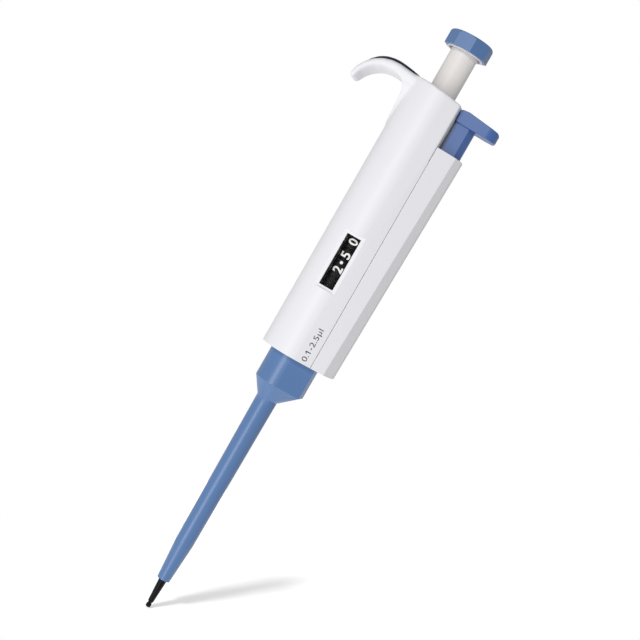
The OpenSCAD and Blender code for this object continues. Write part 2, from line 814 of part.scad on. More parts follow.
module pinion_units() {
    pinion(units_rim_z);
}

// Keys of the stem, or their keyways when grown by g
module stem_keys(g, z0, z1) {
    for (s = [0, 180]) rotate(s) translate([0, -key_w / 2 - g, z0])
        cube([stem_r + key_d + g, key_w + 2 * g, z1 - z0]);
}

// Screw that the stem turns and that sets the volume
module volume_screw() {
    color(brass) difference() {
        translate([0, 0, screw_z]) cylinder(r = screw_r, h = screw_len);
        translate([0, 0, screw_z - over]) cylinder(r = stem_r + run, h = screw_len + 2 * over);
        stem_keys(key_gap, screw_z - over, screw_top + over);
    }
}

// Blue button with eight sides and a top edge that is turned round
module button_cap() {
    side_h = button_h - button_round;
    turn_r = (button_r + touch) / cos(180 / $fn);
    color(blue) difference() {
        translate([0, 0, button_z]) intersection() {
            rotate(button_turn_deg) cylinder(r = button_r, h = button_h, $fn = 8);
            rotate_extrude() polygon(concat([[0, 0], [turn_r, 0]],
                [for (a = [0 : 15 : 90])
                    [turn_r - button_round * (1 - cos(a)), side_h + button_round * sin(a)]],
                [[0, button_h]]));
        }
        translate([0, 0, button_z - over]) cylinder(r = ring_r + seat, h = stem_top - button_z + over + seat);
    }
}

// Pale ring inside the button, hollow round the stem
module button_ring() {
    color(white) difference() {
        translate([0, 0, button_z - ring_lip]) cylinder(r = ring_r, h = stem_top - button_z + ring_lip);
        translate([0, 0, button_z - over]) cylinder(r = stem_r + seat, h = big);
        translate([0, 0, button_z - over]) cylinder(r = ring_r - ring_wall, h = ring_hollow + over);
    }
}

// Stem between the button and the stop collar, with two keys for the volume screw
module stem() {
    color(pale) difference() {
        union() {
            translate([0, 0, stem_z]) cylinder(r = stem_r, h = stem_top - stem_z);
            stem_keys(0, stem_z, key_top);
        }
        translate([0, 0, stem_z - over])
            cylinder(r = stem_r - stem_wall, h = stem_top - stem_z - stem_cap + over);
    }
}

// Collar that meets the volume screw above and the blow-out ring below
module stop_collar() {
    color(steel) difference() {
        translate([0, 0, collar_z]) cylinder(r = collar_r, h = collar_t);
        hex_bar(rod_af + 2 * seat, collar_z - over, collar_z + collar_t + over);
    }
}

// Hexagonal rod from the stem through the counter, with a round spool in the stem
module control_rod() {
    color(steel) difference() {
        union() {
            hex_bar(rod_af, rod_bottom, stem_z + over);
            translate([0, 0, stem_z]) cylinder(r = spool_r, h = spool_h);
        }
        translate([0, 0, rod_bottom - over]) cylinder(r = piston_rod_r + seat, h = rod_socket + over);
    }
}

// Round rod between the control rod and the piston
module piston_rod() {
    foot_z = ferrule_z + ferrule_h + seat;
    color(steel) translate([0, 0, foot_z])
        cylinder(r = piston_rod_r, h = rod_bottom + rod_socket - seat - foot_z);
}

// Brass ferrule that guides the rod and holds the piston
module piston_ferrule() {
    color(brass) pipe(shaft_bore_r - run, piston_r + touch, ferrule_z, ferrule_z + ferrule_h);
}

// Thin steel piston
module piston() {
    color(steel) translate([0, 0, piston_z]) cylinder(r = piston_r, h = ferrule_z + ferrule_h - piston_z);
}

// Blue thumb lever and its shank
module ejector_lever() {
    lever_top = lever_z + lever_t;
    inner_x = lever_x - 2 * lever_corner_r;
    half_w = lever_w / 2;
    side = [[lever_x, lever_z], [lever_end_x, lever_z - lever_under_fall],
        [lever_end_x, lever_top - lever_fall + lever_hump], [seam_x + lever_hump_d, lever_top + lever_hump],
        [lever_x, lever_top - lever_hump]];
    plan = [[inner_x, -half_w], [lever_end_x, -half_w], [lever_end_x, half_w], [inner_x, half_w]];
    color(blue) difference() {
        union() {
            intersection() {
                rotate([90, 0, 0]) linear_extrude(lever_w, center = true)
                    polygon(rounded(side, lever_edge_r));
                translate([0, 0, lever_z - lever_t]) linear_extrude(3 * lever_t)
                    polygon(rounded(plan, lever_corner_r));
            }
            translate([0, 0, shank_bottom]) linear_extrude(lever_z + lever_t / 3 - shank_bottom)
                shank_section(0);
        }
        translate([rod_x, 0, shank_bottom - over]) cylinder(r = eject_rod_r + seat, h = rod_seat_h + over);
    }
}

// Steel rod from the lever down to the foot
module ejector_rod() {
    foot_z = block_top + seat;
    color(steel) translate([rod_x, 0, foot_z])
        cylinder(r = eject_rod_r, h = shank_bottom + rod_seat_h - seat - foot_z);
}

// Plate that joins the rod to the sleeve
module ejector_foot() {
    foot_x = shaft_r + flange_w + 2 * free_gap;
    foot_end = rod_x + foot_half_w;
    color(steel) difference() {
        translate([foot_x, -foot_half_w, block_top + seat])
            cube([foot_end - foot_x, 2 * foot_half_w, foot_t]);
        translate([rod_x, 0, block_top]) cylinder(r = eject_rod_r + seat, h = 2 * foot_t);
        translate([foot_screw_x, 0, block_top]) cylinder(r = foot_screw_r + seat, h = 2 * foot_t);
    }
}

// Screw through the foot into the sleeve's block
module foot_screw() {
    color(steel) translate([foot_screw_x, 0, 0]) {
        translate([0, 0, foot_top + touch]) cylinder(r = foot_screw_head_r, h = screw_head_h - touch);
        translate([0, 0, block_top - foot_screw_len])
            cylinder(r = foot_screw_r, h = foot_top + screw_head_h / 2 - block_top + foot_screw_len);
    }
}

// Blue sleeve that pushes the tip off: faceted block, lofted shoulder and tapered tube
module ejector_sleeve() {
    lip_r = sleeve_end_r - sleeve_wall;
    well_r = block_r - block_wall;
    color(blue) difference() {
        union() {
            translate([0, 0, block_z]) linear_extrude(block_top - block_z) block_section(0);
            hull() {
                translate([0, 0, block_z]) linear_extrude(touch) block_section(0);
                translate([0, 0, shoulder_z]) cylinder(r = sleeve_r, h = touch);
            }
            rotate_extrude() polygon([[0, cone_len], [sleeve_end_r, cone_len], [knee_r, knee_z],
                [sleeve_r, shoulder_z + touch], [0, shoulder_z + touch]]);
        }
        rotate_extrude() polygon([[0, cone_len - over], [lip_r, cone_len - over], [lip_r, cone_len + lip_h],
            [knee_r - tube_wall, knee_z], [sleeve_r - tube_wall, shoulder_z], [well_r - block_wall, block_z],
            [well_r, block_z + block_fillet], [well_r, block_top + over], [0, block_top + over]]);
        translate([foot_screw_x, 0, block_top - foot_screw_len - over])
            cylinder(r = foot_screw_r + seat, h = foot_screw_len + 2 * over);
    }
}

main_housing();
ejector_cover();
hook_inlay();
counter_window();
top_bush();
screw_nut();
spring_seat();
blowout_ring();
blowout_spring();
plunger_spring();
counter_tube();
blank_ring();
pinion_shaft();
shaft_carrier();
shaft_nut();
nozzle_shaft();
tip_cone();
piston_seal();
seal_ring();
seal_retainer();
ejector_spring();
drive_sleeve();
drum_hundredths();
drum_tenths();
drum_units();
pinion_tenths();
pinion_units();
volume_screw();
button_cap();
button_ring();
stem();
stop_collar();
control_rod();
piston_rod();
piston_ferrule();
piston();
ejector_lever();
ejector_rod();
ejector_foot();
foot_screw();
ejector_sleeve();
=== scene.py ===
"""Looks of a hand-held adjustable pipette: moulded shells, printed drums, clear pane and studio."""
import json
import math

import bpy
from mathutils import Matrix, Vector

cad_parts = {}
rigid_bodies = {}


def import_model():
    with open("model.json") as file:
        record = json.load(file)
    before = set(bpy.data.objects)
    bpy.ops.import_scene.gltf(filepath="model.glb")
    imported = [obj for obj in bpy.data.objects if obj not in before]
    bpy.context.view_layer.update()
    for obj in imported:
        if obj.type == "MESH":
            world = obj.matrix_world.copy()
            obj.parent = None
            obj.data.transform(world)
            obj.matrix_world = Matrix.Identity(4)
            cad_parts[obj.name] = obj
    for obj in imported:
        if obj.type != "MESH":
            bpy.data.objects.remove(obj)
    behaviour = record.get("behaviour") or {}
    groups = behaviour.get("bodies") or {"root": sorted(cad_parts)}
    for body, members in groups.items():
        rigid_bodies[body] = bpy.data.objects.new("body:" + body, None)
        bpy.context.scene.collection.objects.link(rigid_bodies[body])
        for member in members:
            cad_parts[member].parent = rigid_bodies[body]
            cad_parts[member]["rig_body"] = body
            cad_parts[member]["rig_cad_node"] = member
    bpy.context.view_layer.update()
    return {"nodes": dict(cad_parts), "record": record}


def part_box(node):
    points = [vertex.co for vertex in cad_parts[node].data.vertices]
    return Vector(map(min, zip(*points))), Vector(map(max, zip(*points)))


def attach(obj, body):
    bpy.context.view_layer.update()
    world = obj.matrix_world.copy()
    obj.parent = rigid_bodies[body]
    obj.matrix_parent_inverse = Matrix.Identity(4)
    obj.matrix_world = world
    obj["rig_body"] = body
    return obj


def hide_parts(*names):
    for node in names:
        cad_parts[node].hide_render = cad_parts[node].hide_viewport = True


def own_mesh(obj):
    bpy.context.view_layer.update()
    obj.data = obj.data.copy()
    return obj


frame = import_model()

bl_info = {
    "name": "Pipette looks",
    "version": (1, 0, 0),
    "blender": (4, 5, 0),
    "location": "3D View > Sidebar > Pipette",
    "description": "Gives the pipette's solids soft edges, printed figures and real finishes",
    "category": "Object",
}

MM = 0.001

# Points of a mesh that are nearer than this are one point
SAME_POINT = 0.002 * MM
# Edges shorter than this have no length, and points of a figure this near are one
NO_LENGTH = 0.001 * MM
# The handle's flat facets lean this far back from its front
FACET_LEAN = math.radians(22.5)
# Ten figures stand round each drum
FIGURE_STEP = math.radians(36.0)
# Edges that bend more than this stay sharp when a piece is shaded
SHARP_ANGLE = math.radians(35.0)
# How strongly large faces lead the shading of the small ones beside them
LARGE_FACES_LEAD = 80
# A wave texture turns through this many radians in one unit of its scale
WAVE_TURN = 20.0


def linear(code):
    """An sRGB hex colour as linear red, green, blue and alpha."""
    parts = [int(code[i:i + 2], 16) / 255 for i in (1, 3, 5)]
    return tuple(p / 12.92 if p <= 0.04045 else ((p + 0.055) / 1.055) ** 2.4 for p in parts) + (1.0,)


def length(name, text, mm):
    """A size that a user may change, given in millimetres."""
    return bpy.props.FloatProperty(name=name, description=text, default=mm * MM, min=0.0, precision=5,
                                   unit="LENGTH")


def angle(name, text, degrees):
    """An angle that a user may change, given in degrees."""
    return bpy.props.FloatProperty(name=name, description=text, default=math.radians(degrees),
                                   subtype="ANGLE")


def amount(name, text, value):
    """A strength that a user may change."""
    return bpy.props.FloatProperty(name=name, description=text, default=value, min=0.0)


def colour(name, text, code):
    """A colour that a user may change, given as an sRGB hex code."""
    return bpy.props.FloatVectorProperty(name=name, description=text, default=linear(code), size=4,
                                         min=0.0, max=1.0, subtype="COLOR")


class PipetteSizes(bpy.types.PropertyGroup):
    """Sizes of the softened edges and of the printed figures."""

    head_cut: length("Head cut", "Height above which the handle's head is blended softly", 190.0)
    head_grain: length("Head grain", "Spacing of the points that the head is blended on", 0.4)
    handle_round: length("Handle rounding", "Rounding of the handle's straight edges", 0.22)
    cover_round: length("Cover rounding", "Rounding of the ejector cover's edges", 0.3)
    lever_round: length("Lever rounding", "Rounding of the thumb lever's edges", 0.6)
    block_round: length("Block rounding", "Rounding of the edges on the ejector sleeve's block", 0.35)
    shoulder_fillet: length("Shoulder fillet", "Fillet between the sleeve's shoulder and tube", 1.0)
    button_round: length("Button rounding", "Rounding of the push button's corners", 0.25)
    dish_radius: length("Dish radius", "Radius of the button's thumb dish", 5.6)
    dish_depth: length("Dish depth", "Depth of the button's thumb dish", 0.35)
    mask_width: length("Mask width", "Width of the dark mask behind the pane's edge", 0.5)
    mask_depth: length("Mask depth", "Depth of the dark mask behind the pane", 2.3)
    strip_round: length("Strip rounding", "Rounding of the corners of the hook's soft strip", 1.8)
    fine_round: length("Fine rounding", "Rounding of small pieces: drums, rings, strip and pane", 0.12)
    figure_height: length("Figure height", "Height of the figures printed on the drums", 3.6)
    figure_width: length("Figure width", "Width of the figures printed on the drums", 2.2)
    point_width: length("Point width", "Width of the printed decimal point", 1.2)
    mark_height: length("Mark height", "Height of the range mark's figures", 2.6)
    mark_length: length("Mark length", "Length of the range mark along the handle", 12.8)
    print_height: length("Print height", "How far printing stands above its surface", 0.02)


class PipetteColours(bpy.types.PropertyGroup):
    """Colours of the pieces that show."""

    white: colour("White", "Handle, cover and button ring", "#E0E0E4")
    blue: colour("Blue", "Button and ejector sleeve", "#4A6FA1")
    # Painted shade: the blue made darker for the thumb lever, which sits in the handle's shadow
    blue_painted_shade: colour("Blue with painted shade", "Thumb lever and its shank", "#3E609B")
    pale: colour("Pale", "Plunger stem", "#DFDBD9")
    inlay: colour("Inlay", "Soft strip along the finger hook", "#1B2240")
    black: colour("Black", "Counter drums", "#070809")
    cone: colour("Tip cone", "Cone that takes a tip", "#060607")
    figures: colour("Figures", "Figures printed on the drums", "#F6F6F4")
    mark: colour("Range mark", "Mark printed on the handle", "#36373E")


class PipetteStage(bpy.types.PropertyGroup):
    """The camera's place and the studio's light."""

    look_at: bpy.props.FloatVectorProperty(
        name="Look at", description="Point in the middle of the picture",
        default=(0.0025, 0.0, 0.1221), size=3, subtype="TRANSLATION", unit="LENGTH")
    distance: length("Distance", "From the camera to the point looked at", 500.0)
    width: length("Picture width", "Width that the picture covers at that point", 230.4)
    yaw: angle("Yaw", "Turn of the camera towards the ejector", 8.5)
    rise: angle("Rise", "Height of the camera above the horizon", 3.0)
    roll: angle("Roll", "Lean of the pipette in the picture", 29.9)
    sky_hook: amount("Sky by the hook", "Strength of the even light from the finger hook's side", 0.43)
    sky_lever: amount("Sky by the lever", "Strength of the even light from the thumb lever's side", 0.36)
    sky_below: amount("Sky from below", "Strength of the even light that comes up from below", 0.8)
    key: amount("Key", "Strength of the key light", 0.75)
    floor_key: amount("Floor key", "Strength of the light that falls on the floor alone", 2.8)
    key_softness: angle("Key softness", "Angle that the key light fills", 4.0)
    key_side: angle("Key side", "Turn of the key light towards the finger hook", 10.4)
    key_rise: angle("Key rise", "Height of the key light above the horizon", 21.0)
    box: amount("Soft box", "Power of the tall soft box in front, in watts", 1.1)
    box_side: angle("Soft box side", "Turn of the soft box towards the finger hook", 15.0)
    box_distance: length("Soft box distance", "From the handle's axis to the soft box", 480.0)
    box_width: length("Soft box width", "Width of the soft box", 90.0)
    box_height: length("Soft box height", "Height of the soft box", 780.0)
    box_drop: length("Soft box drop", "How far the soft box's middle lies below the tip", 110.0)
    floor_drop: length("Floor gap", "Gap between the tip cone's end and the floor", 0.3)
    floor_radius: length("Floor radius", "Radius of the floor, which lies behind the tip", 145.0)
    floor_front: length("Floor front", "How far the floor reaches in front of the tip", 10.0)
    floor_glow: amount("Floor glow", "Light that the floor gives off at the tip", 0.33)
    edge_glow: amount("Edge glow", "Light that the floor gives off at its edge", 0.75)


def only(piece):
    """Selects one object alone and makes it active."""
    bpy.ops.object.select_all(action="DESELECT")
    piece.select_set(True)
    bpy.context.view_layer.objects.active = piece


def add(tree, kind, values=None, links=None):
    """Adds a shader node, sets its properties and sockets, and joins it to others."""
    made = tree.nodes.new("ShaderNode" + kind)
    for key, value in (values or {}).items():
        if isinstance(key, str) and key not in made.inputs:
            setattr(made, key, value)
        else:
            made.inputs[key].default_value = value
    for key, socket in (links or {}).items():
        tree.links.new(socket, made.inputs[key])
    return made


def surface(name, **values):
    """A new material with one shader; the values are constant over the surface."""
    made = bpy.data.materials.new(name)
    made.use_nodes = True
    tree = made.node_tree
    tree.nodes.clear()
    shader = add(tree, "BsdfPrincipled", {key.replace("_", " "): value for key, value in values.items()})
    add(tree, "OutputMaterial", links={"Surface": shader.outputs["BSDF"]})
    place = add(tree, "TexCoord").outputs["Object"]
    return made, tree, shader, place


def across(size_mm):
    """Scale of a pattern on Object coordinates whose features are this many millimetres apart."""
    return 1.0 / (size_mm * MM)


def shade(code, factor):
    """A linear colour made lighter or darker."""
    return tuple(min(1.0, c * factor) for c in code[:3]) + (1.0,)


def moulded(name, code, rough, rough_spread, ior, gloss, grain_mm, grain_depth_mm, drift_mm, drift):
    """A moulded plastic: slow drift of its colour, patchy sheen and the fine grain of the mould."""
    # The real grain is finer than a pixel, so it is drawn coarser, to show in a close view
    made, tree, shader, place = surface(name, IOR=ior, Specular_IOR_Level=gloss)
    slow = add(tree, "TexNoise", {"Scale": across(drift_mm), "Detail": 3.0}, {"Vector": place})
    tint = add(tree, "Mix", {"data_type": "RGBA", 6: shade(code, 1.0 - drift),
                             7: shade(code, 1.0 + drift)}, {0: slow.outputs["Fac"]})
    tree.links.new(tint.outputs[2], shader.inputs["Base Color"])
    sheen = add(tree, "MapRange", {"To Min": rough - rough_spread, "To Max": rough + rough_spread},
                {"Value": slow.outputs["Fac"]})
    tree.links.new(sheen.outputs["Result"], shader.inputs["Roughness"])
    grain = add(tree, "TexNoise", {"Scale": across(grain_mm), "Detail": 4.0, "Roughness": 0.6},
                {"Vector": place})
    bump = add(tree, "Bump", {"Strength": 0.5, "Distance": grain_depth_mm * MM},
               {"Height": grain.outputs["Fac"]})
    tree.links.new(bump.outputs["Normal"], shader.inputs["Normal"])
    return made


def turned(name, code, rough, ring_mm, ring_depth_mm):
    """A turned metal: fine grooves round its axis that catch the light as rings."""
    # Real tool marks are finer, so they are drawn coarser, to show in a close view
    made, tree, shader, place = surface(name, Base_Color=code, Metallic=1.0)
    scale = math.tau / WAVE_TURN * across(ring_mm)
    rings = add(tree, "TexWave", {"bands_direction": "Z", "Scale": scale, "Distortion": 0.4,
                                  "Detail": 1.0}, {"Vector": place})
    duller, brighter = 1.2, 0.8
    sheen = add(tree, "MapRange", {"To Min": rough * brighter, "To Max": rough * duller},
                {"Value": rings.outputs["Fac"]})
    tree.links.new(sheen.outputs["Result"], shader.inputs["Roughness"])
    bump = add(tree, "Bump", {"Strength": 0.4, "Distance": ring_depth_mm * MM},
               {"Height": rings.outputs["Fac"]})
    tree.links.new(bump.outputs["Normal"], shader.inputs["Normal"])
    return made


def printed(name, code, glow):
    """Pad-printed ink: a thin matt film of uneven cover; its glow is emission that paints extra light
    onto the print.
    """
    film_mm, thin, thick = 0.5, 0.93, 1.04
    made, tree, shader, place = surface(name, Roughness=0.55, IOR=1.5, Emission_Color=code,
                                        Emission_Strength=glow)
    film = add(tree, "TexNoise", {"Scale": across(film_mm), "Detail": 2.0}, {"Vector": place})
    tint = add(tree, "Mix", {"data_type": "RGBA", 6: shade(code, thin), 7: shade(code, thick)},
               {0: film.outputs["Fac"]})
    tree.links.new(tint.outputs[2], shader.inputs["Base Color"])
    return made


FINISHES = {}


def make_finishes(colours):
    """One material for each of the record's slots, a darker blue that paints shade on the thumb lever,
    and the two inks.
    """
    # White ABS from a satin mould: soft wide highlights and no visible texture from afar
    FINISHES["white_abs"] = moulded(
        "ABS_white", colours.white,
        rough=0.40, rough_spread=0.05, ior=1.54, gloss=0.4,
        grain_mm=0.35, grain_depth_mm=0.004, drift_mm=14.0, drift=0.008)
    # Blue ABS, a little shinier, so its facets separate clearly
    FINISHES["blue_abs"] = moulded(
        "ABS_blue", colours.blue,
        rough=0.33, rough_spread=0.04, ior=1.54, gloss=0.7,
        grain_mm=0.4, grain_depth_mm=0.004, drift_mm=10.0, drift=0.03)
    # The same blue ABS made darker: painted shade for the thumb lever and its shank beside the handle
    FINISHES["blue_abs_painted_shade"] = moulded(
        "ABS_blue_painted_shade", colours.blue_painted_shade,
        rough=0.35, rough_spread=0.04, ior=1.54, gloss=0.5,
        grain_mm=0.4, grain_depth_mm=0.004, drift_mm=10.0, drift=0.03)
    # Dark soft TPE with a stippled, dull skin
    FINISHES["dark_inlay"] = moulded(
        "TPE_inlay", colours.inlay,
        rough=0.62, rough_spread=0.06, ior=1.50, gloss=0.4,
        grain_mm=0.5, grain_depth_mm=0.02, drift_mm=5.0, drift=0.05)
    # Pale acetal rod stock, drawn and polished to a soft sheen
    FINISHES["pale_pom"] = moulded(
        "POM_pale", colours.pale,
        rough=0.42, rough_spread=0.05, ior=1.48, gloss=0.4,
        grain_mm=0.3, grain_depth_mm=0.003, drift_mm=8.0, drift=0.02)
    # Black acetal of the drums, satin so the window keeps a soft vertical highlight
    FINISHES["black_pom"] = moulded(
        "POM_black", colours.black,
        rough=0.38, rough_spread=0.06, ior=1.48, gloss=0.15,
        grain_mm=0.25, grain_depth_mm=0.003, drift_mm=3.0, drift=0.15)
    # Black PVDF cone, polished in its mould to seal in a tip
    FINISHES["black_pvdf"] = moulded(
        "PVDF_black", colours.cone,
        rough=0.2, rough_spread=0.03, ior=1.42, gloss=0.22,
        grain_mm=0.3, grain_depth_mm=0.0015, drift_mm=3.0, drift=0.1)
    # Natural PVDF of the hidden shaft, milky and dull
    FINISHES["shaft_pvdf"] = moulded(
        "PVDF_natural", linear("#CBCAC4"),
        rough=0.45, rough_spread=0.05, ior=1.42, gloss=0.5,
        grain_mm=0.3, grain_depth_mm=0.003, drift_mm=6.0, drift=0.03)
    # White acetal of the small pinions
    FINISHES["white_pom"] = moulded(
        "POM_white", linear("#E6E6E6"),
        rough=0.42, rough_spread=0.05, ior=1.48, gloss=0.5,
        grain_mm=0.2, grain_depth_mm=0.002, drift_mm=2.0, drift=0.03)
    # White PTFE seal, waxy
    FINISHES["seal_ptfe"] = moulded(
        "PTFE_seal", linear("#EDEDE6"),
        rough=0.5, rough_spread=0.05, ior=1.35, gloss=0.5,
        grain_mm=0.2, grain_depth_mm=0.002, drift_mm=2.0, drift=0.03)
    # Black nitrile ring, dull and slightly bloomed
    FINISHES["seal_rubber"] = moulded(
        "NBR_ring", linear("#1B1B1D"),
        rough=0.7, rough_spread=0.06, ior=1.52, gloss=0.5,
        grain_mm=0.15, grain_depth_mm=0.003, drift_mm=1.0, drift=0.1)
    # Stainless steel, drawn or turned: fine rings of brighter and duller metal
    FINISHES["steel"] = turned(
        "Stainless_turned", linear("#C4C6C9"), rough=0.26, ring_mm=1.5708, ring_depth_mm=0.002)
    # Turned brass with a thread-fine ring pattern
    FINISHES["brass"] = turned(
        "Brass_turned", linear("#D9BB74"), rough=0.28, ring_mm=3.1416, ring_depth_mm=0.01)
    # White ink, opaque on the black drums; its glow is painted light that brightens the figures in the
    # window's shaded recess
    FINISHES["figures"] = printed("Ink_white", colours.figures, glow=0.2)
    # Grey ink, thin and matt on the white handle
    FINISHES["mark"] = printed("Ink_grey", colours.mark, glow=0.0)
    # Clear cast acrylic: nearly all light goes through, and only its gloss shows
    pane, tree, shader, place = surface("PMMA_clear", Base_Color=linear("#0A0C0D"), Alpha=0.03, IOR=1.49)
    haze_mm = 4.0
    haze = add(tree, "TexNoise", {"Scale": across(haze_mm), "Detail": 2.0}, {"Vector": place})
    polish = add(tree, "MapRange", {"To Min": 0.12, "To Max": 0.18}, {"Value": haze.outputs["Fac"]})
    tree.links.new(polish.outputs["Result"], shader.inputs["Roughness"])
    FINISHES["clear_pane"] = pane


def modify(piece, kind, **settings):
    """Adds a modifier to a piece, sets it and applies it."""
    only(piece)
    bpy.ops.object.modifier_add(type=kind)
    made = piece.modifiers[-1]
    for key, value in settings.items():
        setattr(made, key, value)
    bpy.ops.object.modifier_apply(modifier=made.name)


def edit_all(piece):
    """Opens a piece for editing with all of it selected."""
    only(piece)
    bpy.ops.object.mode_set(mode="EDIT")
    bpy.ops.mesh.select_all(action="SELECT")


def settle(piece):
    """Writes a piece's place, turn and scale into its points."""
    only(piece)
    bpy.ops.object.transform_apply(location=True, rotation=True, scale=True)


def copy_node(node, name, flat_deg=0.5):
    """A merged copy of a CAD node's mesh, with the triangles of its flat faces joined."""
    only(frame["nodes"][node])
    bpy.ops.object.duplicate()
    piece = bpy.context.object
    piece.name = piece.data.name = name
    piece.parent = None
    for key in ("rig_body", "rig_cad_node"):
        del piece[key]
    bpy.ops.mesh.customdata_custom_splitnormals_clear()
    edit_all(piece)
    bpy.ops.mesh.remove_doubles(threshold=SAME_POINT)
    if flat_deg:
        bpy.ops.mesh.dissolve_limited(angle_limit=math.radians(flat_deg))
    bpy.ops.object.mode_set(mode="OBJECT")
    return piece


def cut_at(piece, height, keep_above):
    """Cuts a piece level at a height, keeps one side and closes it."""
    edit_all(piece)
    bpy.ops.mesh.bisect(plane_co=(0.0, 0.0, height), plane_no=(0.0, 0.0, 1.0), use_fill=True,
                        clear_inner=keep_above, clear_outer=not keep_above)
    bpy.ops.object.mode_set(mode="OBJECT")


def clear_edges():
    """Leaves the active piece with no edge selected, so that the script can select some."""
    bpy.ops.object.mode_set(mode="EDIT")
    bpy.ops.mesh.select_mode(type="EDGE")
    bpy.ops.mesh.select_all(action="DESELECT")
    bpy.ops.object.mode_set(mode="OBJECT")


def round_edges(piece, width, chosen, segments=3, over_deg=20.0, under=math.inf):
    """Rounds edges that are short and bent enough and whose middle, in millimetres, passes a test."""
    only(piece)
    clear_edges()
    mesh, sides = piece.data, {}
    for face in mesh.polygons:
        for key in face.edge_keys:
            sides.setdefault(key, []).append(face.normal)
    picked = 0
    for edge in mesh.edges:
        pair = sides[edge.key]
        one, two = (mesh.vertices[i].co for i in edge.vertices)
        bent = len(pair) == 2 and pair[0].angle(pair[1], 0.0) > math.radians(over_deg)
        if bent and (one - two).length < under and chosen((one + two) / (2.0 * MM)):
            edge.select = True
            picked += 1
    if not picked:
        raise RuntimeError("no edge of " + piece.name + " was found to round")
    bpy.ops.object.mode_set(mode="EDIT")
    bpy.ops.mesh.bevel(offset=width, segments=segments, affect="EDGES", clamp_overlap=True)
    # Where roundings meet, the bevel leaves faces with no area
    bpy.ops.mesh.select_all(action="SELECT")
    bpy.ops.mesh.dissolve_degenerate(threshold=NO_LENGTH)
    bpy.ops.object.mode_set(mode="OBJECT")


def shine(piece, crisp=""):
    """Shades a piece smoothly, keeps sharp edges and lets large faces lead in a group of points."""
    only(piece)
    bpy.ops.object.shade_smooth_by_angle(angle=SHARP_ANGLE)
    modify(piece, "WEIGHTED_NORMAL", keep_sharp=True, weight=LARGE_FACES_LEAD, vertex_group=crisp)


def anywhere(middle):
    """Test for rounding every sharp edge of a piece."""
    return True


def soften(node, name, width, chosen=anywhere, **settings):
    """A copy of a CAD node with its edges rounded and its shading set."""
    piece = copy_node(node, name)
    round_edges(piece, width, chosen, **settings)
    shine(piece)
    return piece


def dress(piece, body, slot, finish, *nodes):
    """Gives a finished piece its material and its body and hides the CAD nodes that it stands for; the
    slot is not used.
    """
    piece.data.materials.clear()
    piece.data.materials.append(FINISHES[finish])
    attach(piece, body)
    if nodes:
        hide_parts(*nodes)


def choose_edges(piece, test):
    """Opens the active piece with those of its edges selected whose two end points pass a test."""
    clear_edges()
    for edge in piece.data.edges:
        edge.select = test(*(piece.data.vertices[i].co for i in edge.vertices))
    bpy.ops.object.mode_set(mode="EDIT")


def add_flag(piece):
    """Draws a slanted flag from the top of the first upright bar, all that the font has for a 1."""
    # In units of the font, in which a figure is about 0.7 tall
    near, bar, top_band, flag = 0.01, 0.6, 0.05, (-0.16, -0.13, 0.0)

    def upright(one, two):
        return abs(one.x - two.x) < near and abs(one.y - two.y) > bar

    points = piece.data.vertices
    left = min(points[edge.vertices[0]].co.x for edge in piece.data.edges
               if upright(*(points[i].co for i in edge.vertices)))
    top = max(point.co.y for point in points)
    choose_edges(piece, lambda one, two: upright(one, two) and one.x < left + near)
    bpy.ops.mesh.subdivide(number_cuts=4)
    choose_edges(piece, lambda one, two: max(abs(one.x - left), abs(two.x - left)) < near
                 and max(one.y, two.y) > top - top_band)
    bpy.ops.mesh.extrude_region_move(TRANSFORM_OT_translate={"value": flag})
    bpy.ops.object.mode_set(mode="OBJECT")


def figure(text, height, width, bold):
    """A flat printed figure or word, centred on the origin, with its up along +Y."""
    bpy.ops.object.select_all(action="DESELECT")
    bpy.ops.object.text_add()
    made = bpy.context.object
    made.data.body = text
    made.data.offset = bold
    made.data.resolution_u = 4
    bpy.ops.object.convert(target="MESH")
    made = bpy.context.object
    if "1" in text:
        add_flag(made)
    bpy.ops.object.origin_set(type="ORIGIN_GEOMETRY", center="BOUNDS")
    made.location = (0.0, 0.0, 0.0)
    made.scale = (width / made.dimensions.x, height / made.dimensions.y, 1.0)
    settle(made)
    edit_all(made)
    bpy.ops.mesh.remove_doubles(threshold=NO_LENGTH)
    bpy.ops.mesh.quads_convert_to_tris(ngon_method="BEAUTY")
    # Short edges let the print follow a drum without sinking into it
    bpy.ops.mesh.subdivide(number_cuts=4)
    bpy.ops.object.mode_set(mode="OBJECT")
    return made


def lay(piece, middle, right, up, target, print_height):
    """Lays a flat figure on a surface: its middle, its reading direction and its up are given."""
    out = right.cross(up)
    turn = Matrix((right, up, out)).transposed().to_4x4()
    piece.matrix_world = Matrix.Translation(middle) @ turn
    settle(piece)
    modify(piece, "SHRINKWRAP", target=target, wrap_method="PROJECT", use_project_y=True,
           use_negative_direction=False, use_positive_direction=True, offset=print_height,
           wrap_mode="ABOVE_SURFACE")
    modify(piece, "SOLIDIFY", thickness=2.0 * print_height, offset=-1.0)
    edit_all(piece)
    bpy.ops.mesh.normals_make_consistent(inside=False)
    bpy.ops.object.mode_set(mode="OBJECT")


def join(pieces, name):
    """Joins figures into one piece."""
    bpy.ops.object.select_all(action="DESELECT")
    for piece in pieces:
        piece.select_set(True)
    bpy.context.view_layer.objects.active = pieces[0]
    bpy.ops.object.join()
    made = bpy.context.object
    made.name = made.data.name = name
    return made


